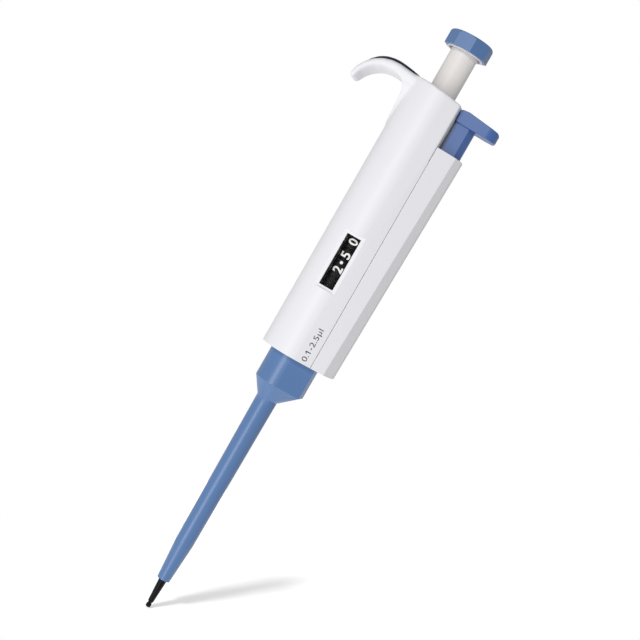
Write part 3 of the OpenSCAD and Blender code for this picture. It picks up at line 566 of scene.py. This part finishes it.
class PIPETTE_OT_handle(bpy.types.Operator):
    """Rounds the handle's edges and lets the finger hook flow into the grip"""
    bl_idname = "pipette.handle"
    bl_label = "Handle"

    def execute(self, context):
        sizes = context.scene.pipette_sizes
        # The head is cut with some to spare, blended and cut to its height, where the halves lap
        spare, lap, past_cut = 5.0 * MM, 0.02 * MM, 2.0 * MM
        # Only edges outside this radius, in millimetres, are rounded
        grip_reach = 9.0
        head = copy_node("main_housing", "head", flat_deg=0.0)
        cut_at(head, sizes.head_cut - spare, True)
        modify(head, "REMESH", mode="VOXEL", voxel_size=sizes.head_grain)
        modify(head, "SMOOTH", factor=0.5, iterations=10)
        cut_at(head, sizes.head_cut, True)
        piece = copy_node("main_housing", "handle")
        round_edges(piece, sizes.handle_round,
                    lambda p: p.xy.length > grip_reach and p.z * MM < sizes.head_cut + past_cut)
        cut_at(piece, sizes.head_cut + lap, False)
        modify(piece, "BOOLEAN", object=head, operation="UNION", solver="EXACT")
        bpy.data.objects.remove(head)
        crisp = piece.vertex_groups.new(name="crisp")
        crisp.add([v.index for v in piece.data.vertices if v.co.z < sizes.head_cut], 1.0, "REPLACE")
        shine(piece, crisp.name)
        dress(piece, "housing", "white_abs", "white_abs", "main_housing")
        return {"FINISHED"}


class PIPETTE_OT_inlay(bpy.types.Operator):
    """Rounds the soft strip along the top of the finger hook"""
    bl_idname = "pipette.inlay"
    bl_label = "Hook inlay"

    def execute(self, context):
        strip_thickness = 1.5 * MM
        piece = soften("hook_inlay", "hook_strip", context.scene.pipette_sizes.strip_round, segments=6,
                       under=strip_thickness)
        dress(piece, "housing", "dark_inlay", "dark_inlay", "hook_inlay")
        return {"FINISHED"}


class PIPETTE_OT_cover(bpy.types.Operator):
    """Rounds the moulded edges of the strip over the ejector rod"""
    bl_idname = "pipette.cover"
    bl_label = "Ejector cover"

    def execute(self, context):
        # In millimetres, as the test's points are
        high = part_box("ejector_cover")[1] / MM
        wall, facet_reach, hair = 1.0, 12.9, 0.01

        def outside(p):
            facet = abs(p.y) + math.tan(FACET_LEAN) * p.x > facet_reach - wall
            return facet or p.x > high.x - 2.0 * wall or p.z > high.z - hair

        piece = soften("ejector_cover", "rod_cover", context.scene.pipette_sizes.cover_round, outside)
        dress(piece, "housing", "white_abs", "white_abs", "ejector_cover")
        return {"FINISHED"}


class PIPETTE_OT_lever(bpy.types.Operator):
    """Rounds the thumb lever and its shank"""
    bl_idname = "pipette.lever"
    bl_label = "Thumb lever"

    def execute(self, context):
        # In millimetres, as the test's points are
        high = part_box("ejector_lever")[1] / MM
        lever_height, side_band = 6.0, 0.5

        def on_sides(p):
            return p.z > high.z - lever_height and abs(p.y) > high.y - side_band

        piece = soften("ejector_lever", "thumb_lever", context.scene.pipette_sizes.lever_round, on_sides,
                       segments=4)
        # The lever takes the darker blue, which is painted shade
        dress(piece, "tip_ejector", "blue_abs", "blue_abs_painted_shade", "ejector_lever")
        return {"FINISHED"}


class PIPETTE_OT_sleeve(bpy.types.Operator):
    """Rounds the ejector sleeve's block and fillets its shoulder into the tube"""
    bl_idname = "pipette.sleeve"
    bl_label = "Ejector sleeve"

    def execute(self, context):
        sizes = context.scene.pipette_sizes
        piece = copy_node("ejector_sleeve", "tip_sleeve")
        # Heights and radii in millimetres, as the tests' points are
        shoulder, shoulder_band, tube_reach = 88.0, 0.1, 3.6
        block_foot, block_reach = 91.5, 7.2
        round_edges(piece, sizes.shoulder_fillet,
                    lambda p: abs(p.z - shoulder) < shoulder_band and p.xy.length > tube_reach,
                    segments=4, over_deg=15.0)
        round_edges(piece, sizes.block_round,
                    lambda p: p.z > block_foot and p.xy.length > block_reach, over_deg=12.0)
        shine(piece)
        dress(piece, "tip_ejector", "blue_abs", "blue_abs", "ejector_sleeve")
        return {"FINISHED"}


class PIPETTE_OT_button(bpy.types.Operator):
    """Rounds the push button and its ring, and sinks a thumb dish into the button's top"""
    bl_idname = "pipette.button"
    bl_label = "Push button"

    def execute(self, context):
        sizes = context.scene.pipette_sizes
        cap = copy_node("button_cap", "push_button")
        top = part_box("button_cap")[1].z
        # In millimetres: the corners stand outside this radius and below the crown
        side_reach, crown = 7.5, 1.0
        ball_radius = (sizes.dish_radius ** 2 + sizes.dish_depth ** 2) / (2.0 * sizes.dish_depth)
        bpy.ops.object.select_all(action="DESELECT")
        bpy.ops.mesh.primitive_uv_sphere_add(segments=96, ring_count=160, radius=ball_radius,
                                             location=(0.0, 0.0, top + ball_radius - sizes.dish_depth))
        ball = context.object
        modify(cap, "BOOLEAN", object=ball, operation="DIFFERENCE", solver="EXACT")
        bpy.data.objects.remove(ball)
        round_edges(cap, sizes.button_round,
                    lambda p: p.xy.length > side_reach and p.z < top / MM - crown, over_deg=30.0)
        shine(cap)
        dress(cap, "plunger", "blue_abs", "blue_abs", "button_cap")
        ring = soften("button_ring", "button_collar", sizes.fine_round)
        dress(ring, "plunger", "white_abs", "white_abs", "button_ring")
        return {"FINISHED"}


class PIPETTE_OT_stem(bpy.types.Operator):
    """Rounds the ends of the plunger's stem"""
    bl_idname = "pipette.stem"
    bl_label = "Plunger stem"

    def execute(self, context):
        piece = soften("stem", "plunger_stem", context.scene.pipette_sizes.fine_round)
        dress(piece, "plunger", "pale_pom", "pale_pom", "stem")
        return {"FINISHED"}


class PIPETTE_OT_counter(bpy.types.Operator):
    """Rounds the counter's drums and prints their figures all the way round"""
    bl_idname = "pipette.counter"
    bl_label = "Counter"

    def execute(self, context):
        sizes = context.scene.pipette_sizes
        drums, drum_reach = {}, 7.2
        for node, name, body in (("drum_units", "units_wheel", "units_drum"),
                                 ("drum_tenths", "tenths_wheel", "tenths_drum"),
                                 ("drum_hundredths", "hundredths_wheel", "volume_dial"),
                                 ("blank_ring", "blank_wheel", "housing")):
            wheel = soften(node, name, sizes.fine_round, lambda p: p.xy.length > drum_reach, segments=2,
                           over_deg=40.0)
            dress(wheel, body, "black_pom", "black_pom", node)
            drums[node] = wheel
        # Heights in millimetres of the middles of the figures and of the decimal point
        units, tenths, hundredths, point = 141.15, 146.9, 152.3, 143.9
        # At rest the front reads 2.50; a drum that turns a step clockwise, from above, counts down
        twos, fives = ([str((first - k) % 10) for k in range(10)] for first in (2, 5))
        rows = (("drum_units", "units_print", "units_drum", units, twos),
                ("drum_tenths", "tenths_print", "tenths_drum", tenths, fives),
                ("drum_hundredths", "hundredths_print", "volume_dial", hundredths, list("05" * 5)))
        # Each figure starts clear of its drum and is wrapped onto it; a 1 is narrower than the others
        along, up = Vector((0.0, 0.0, 1.0)), Vector((-1.0, 0.0, 0.0))
        bold, narrow, clear = 0.02, 0.6, 1.0 * MM
        for node, name, body, height_mm, words in rows:
            made, front = [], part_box(node)[0].y - clear
            for k, word in enumerate(words):
                wide = sizes.figure_width * (narrow if word == "1" else 1.0)
                spots = [(word, height_mm, sizes.figure_height, wide)]
                if node == "drum_units":
                    spots.append(("•", point, sizes.point_width, sizes.point_width))
                for text, z_mm, tall, wide in spots:
                    piece = figure(text, tall, wide, bold)
                    middle = Vector((0.0, front, z_mm * MM))
                    lay(piece, middle, along, up, drums[node], sizes.print_height)
                    piece.rotation_euler.z = k * FIGURE_STEP
                    settle(piece)
                    made.append(piece)
            dress(join(made, name), body, "black_pom", "figures")
        return {"FINISHED"}


class PIPETTE_OT_pane(bpy.types.Operator):
    """Rounds the clear pane and sets a dark mask behind its edge, so that one row of figures shows"""
    bl_idname = "pipette.pane"
    bl_label = "Window pane"

    def execute(self, context):
        sizes = context.scene.pipette_sizes
        low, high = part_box("counter_window")
        mask = copy_node("counter_window", "window_mask")
        edit_all(mask)
        bpy.ops.transform.resize(value=(sizes.mask_width / (high.x - low.x),
                                        sizes.mask_depth / (high.y - low.y), 1.0),
                                 center_override=(low.x, high.y, (low.z + high.z) / 2.0))
        bpy.ops.transform.translate(value=(0.0, sizes.mask_depth, 0.0))
        bpy.ops.object.mode_set(mode="OBJECT")
        round_edges(mask, sizes.fine_round, anywhere, segments=2)
        shine(mask)
        dress(mask, "housing", "black_pom", "black_pom")
        piece = soften("counter_window", "clear_pane", sizes.fine_round, segments=2)
        dress(piece, "housing", "clear_pane", "clear_pane", "counter_window")
        return {"FINISHED"}


class PIPETTE_OT_range_mark(bpy.types.Operator):
    """Prints the volume range on the handle's flat facet"""
    bl_idname = "pipette.range_mark"
    bl_label = "Range mark"

    def execute(self, context):
        sizes = context.scene.pipette_sizes
        # In front of the facet, and laid on it by the wrap
        middle = Vector((6.4, -12.6, 113.6)) * MM
        piece = figure("0.1-2.5µl", sizes.mark_height, sizes.mark_length, bold=0.0)
        along = Vector((0.0, 0.0, 1.0))
        up = Vector((-math.cos(FACET_LEAN), -math.sin(FACET_LEAN), 0.0))
        lay(piece, middle, along, up, bpy.data.objects["handle"], sizes.print_height)
        piece.name = piece.data.name = "range_mark"
        dress(piece, "housing", "white_abs", "mark")
        return {"FINISHED"}


class PIPETTE_OT_tip_cone(bpy.types.Operator):
    """Smooths the tip cone's bead, neck and taper"""
    bl_idname = "pipette.tip_cone"
    bl_label = "Tip cone"

    def execute(self, context):
        bead_round = 0.06 * MM
        # In millimetres: the bead ends below this height and the bore is inside this radius
        bead_height, bore_reach = 3.0, 0.6
        piece = soften("tip_cone", "cone", bead_round,
                       lambda p: p.z < bead_height and p.xy.length > bore_reach,
                       segments=2, over_deg=25.0)
        dress(piece, "housing", "black_pvdf", "black_pvdf", "tip_cone")
        return {"FINISHED"}


class PIPETTE_OT_springs(bpy.types.Operator):
    """Rounds the wire of the two return springs and fixes them to the housing"""
    bl_idname = "pipette.springs"
    bl_label = "Return springs"

    def execute(self, context):
        for node, name, joint in (("plunger_spring", "plunger_coil", "plunger"),
                                  ("ejector_spring", "ejector_coil", "tip_ejector")):
            piece = copy_node(node, name, flat_deg=0.0)
            modify(piece, "SUBSURF", levels=1, render_levels=1)
            shine(piece)
            dress(piece, "housing", "steel", "steel", node)
            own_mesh(piece)
        return {"FINISHED"}


class PIPETTE_OT_inner_works(bpy.types.Operator):
    """Gives each hidden piece of the mechanism its finish"""
    bl_idname = "pipette.inner_works"
    bl_label = "Inner works"

    def execute(self, context):
        slots = {row["node"]: row["material_slot"] for row in frame["record"]["subparts"]}
        for name, piece in frame["nodes"].items():
            if not piece.hide_render:
                piece.data.materials.clear()
                piece.data.materials.append(FINISHES[slots[name]])
        return {"FINISHED"}


def direction(side, rise):
    """The direction, from the handle's axis, of something turned to one side and raised."""
    return Vector((math.sin(side) * math.cos(rise), -math.cos(side) * math.cos(rise), math.sin(rise)))


def set_camera(scene, stage):
    """A long lens that looks a little down, rolled so that the pipette leans in the picture."""
    back = direction(stage.yaw, stage.rise)
    right = Vector((math.cos(stage.yaw), math.sin(stage.yaw), 0.0))
    up = back.cross(right)
    across_x = right * math.cos(stage.roll) + up * math.sin(stage.roll)
    across_y = up * math.cos(stage.roll) - right * math.sin(stage.roll)
    bpy.ops.object.camera_add()
    camera = bpy.context.object
    camera.name = "camera"
    sensor_mm = 36.0
    camera.data.sensor_width = sensor_mm
    camera.data.lens = sensor_mm * stage.distance / stage.width
    camera.data.clip_start = 10.0 * MM
    turn = Matrix((across_x, across_y, back)).transposed().to_4x4()
    camera.matrix_world = Matrix.Translation(Vector(stage.look_at) + back * stage.distance) @ turn
    scene.camera = camera


def set_lights(stage, toward, floor_only):
    """The key light, a light beside it that falls on the floor alone, and a tall soft box in front."""
    for name, strength, receivers in (("key_light", stage.key, None),
                                      ("floor_light", stage.floor_key, floor_only)):
        bpy.ops.object.light_add(type="SUN")
        sun = bpy.context.object
        sun.name = name
        sun.data.energy = strength
        sun.data.angle = stage.key_softness
        sun.matrix_world = toward.to_track_quat("Z", "Y").to_matrix().to_4x4()
        sun.light_linking.receiver_collection = receivers
    bpy.ops.object.light_add(type="AREA")
    box = bpy.context.object
    box.name = "soft_box"
    box.data.shape = "RECTANGLE"
    box.data.size = stage.box_width
    box.data.size_y = stage.box_height
    box.data.energy = stage.box
    box.visible_camera = False
    aside = direction(-stage.box_side, 0.0)
    middle = aside * stage.box_distance - Vector((0.0, 0.0, stage.box_drop))
    turn = aside.to_track_quat("Z", "Y").to_matrix().to_4x4()
    box.matrix_world = Matrix.Translation(middle) @ turn


def set_floor(stage, toward, floor_only):
    """Pale matt paper lit from below, more so towards its edge, which melts into the background."""
    behind = -Vector((toward.x, toward.y, 0.0)).normalized() * (stage.floor_radius - stage.floor_front)
    bpy.ops.mesh.primitive_circle_add(vertices=96, radius=stage.floor_radius, fill_type="NGON",
                                      location=(behind.x, behind.y, -stage.floor_drop))
    floor = bpy.context.object
    floor.name = "floor"
    settle(floor)
    paper, tree, shader, place = surface("Paper_white", Base_Color=linear("#F4F4F4"), Roughness=0.95,
                                         Emission_Color=linear("#FFFFFF"), Specular_IOR_Level=0.0)
    far = add(tree, "VectorMath", {"operation": "LENGTH"}, {0: place})
    reach = 2.0 * stage.floor_radius - stage.floor_front
    fade_from, fade_to = 0.5 * reach, 0.92 * reach
    glow = add(tree, "MapRange", {"From Min": fade_from, "From Max": fade_to, "To Min": stage.floor_glow,
                                  "To Max": stage.edge_glow}, {"Value": far.outputs["Value"]})
    tree.links.new(glow.outputs["Result"], shader.inputs["Emission Strength"])
    floor.data.materials.append(paper)
    floor_only.objects.link(floor)


def set_sky(scene, stage):
    """An even sky, white to the camera, that is stronger by the finger hook and from below."""
    world = bpy.data.worlds.new("studio")
    scene.world = world
    world.use_nodes = True
    tree = world.node_tree
    tree.nodes.clear()
    way = add(tree, "SeparateXYZ", links={0: add(tree, "TexCoord").outputs["Generated"]})
    slope = add(tree, "MapRange", {"From Min": -1.0, "From Max": 1.0, "To Min": stage.sky_hook,
                                   "To Max": stage.sky_lever}, {"Value": way.outputs["X"]})
    # The light from below fades out a little above the horizon
    above = 0.3
    under = add(tree, "MapRange", {"From Min": -1.0, "From Max": above, "To Min": stage.sky_below,
                                   "To Max": 0.0}, {"Value": way.outputs["Z"]})
    both = add(tree, "Math", {"operation": "ADD"}, {0: slope.outputs["Result"],
                                                    1: under.outputs["Result"]})
    even = add(tree, "Background", {"Color": linear("#FFFFFF")}, {"Strength": both.outputs["Value"]})
    seen = add(tree, "Background", {"Color": linear("#FFFFFF"), "Strength": 1.0})
    path = add(tree, "LightPath")
    mix = add(tree, "MixShader", links={0: path.outputs["Is Camera Ray"], 1: even.outputs[0],
                                        2: seen.outputs[0]})
    add(tree, "OutputWorld", links={"Surface": mix.outputs[0]})
    scene.view_settings.view_transform = "Standard"


class PIPETTE_OT_stage(bpy.types.Operator):
    """Sets the camera, the lights, the pale floor and the even sky"""
    bl_idname = "pipette.stage"
    bl_label = "Studio"

    def execute(self, context):
        stage = context.scene.pipette_stage
        bpy.ops.object.select_all(action="DESELECT")
        toward = direction(-stage.key_side, stage.key_rise)
        floor_only = bpy.data.collections.new("floor_only")
        set_camera(context.scene, stage)
        set_lights(stage, toward, floor_only)
        set_floor(stage, toward, floor_only)
        set_sky(context.scene, stage)
        return {"FINISHED"}


STEPS = (PIPETTE_OT_stage, PIPETTE_OT_handle, PIPETTE_OT_inlay, PIPETTE_OT_cover, PIPETTE_OT_lever,
         PIPETTE_OT_sleeve, PIPETTE_OT_button, PIPETTE_OT_stem, PIPETTE_OT_counter, PIPETTE_OT_pane,
         PIPETTE_OT_range_mark, PIPETTE_OT_tip_cone, PIPETTE_OT_springs, PIPETTE_OT_inner_works)


class PIPETTE_PT_panel(bpy.types.Panel):
    """Lists the pieces with their sizes and colours"""
    bl_label = "Pipette"
    bl_space_type = "VIEW_3D"
    bl_region_type = "UI"
    bl_category = "Pipette"

    def draw(self, context):
        layout = self.layout
        scene = context.scene
        for group in (scene.pipette_sizes, scene.pipette_colours, scene.pipette_stage):
            box = layout.box()
            for name in group.__annotations__:
                box.prop(group, name)
        for step in STEPS:
            layout.operator(step.bl_idname)


CLASSES = (PipetteSizes, PipetteColours, PipetteStage) + STEPS + (PIPETTE_PT_panel,)


def register():
    """Registers the classes and hangs the property groups on the scene."""
    for made in CLASSES:
        bpy.utils.register_class(made)
    bpy.types.Scene.pipette_sizes = bpy.props.PointerProperty(type=PipetteSizes)
    bpy.types.Scene.pipette_colours = bpy.props.PointerProperty(type=PipetteColours)
    bpy.types.Scene.pipette_stage = bpy.props.PointerProperty(type=PipetteStage)


def unregister():
    """Takes the property groups and the classes away again."""
    for name in ("pipette_stage", "pipette_colours", "pipette_sizes"):
        delattr(bpy.types.Scene, name)
    for made in reversed(CLASSES):
        bpy.utils.unregister_class(made)


def main():
    """Builds every piece in order."""
    register()
    make_finishes(bpy.context.scene.pipette_colours)
    for step in STEPS:
        group, name = step.bl_idname.split(".")
        getattr(getattr(bpy.ops, group), name)()


if __name__ == "__main__":
    main()
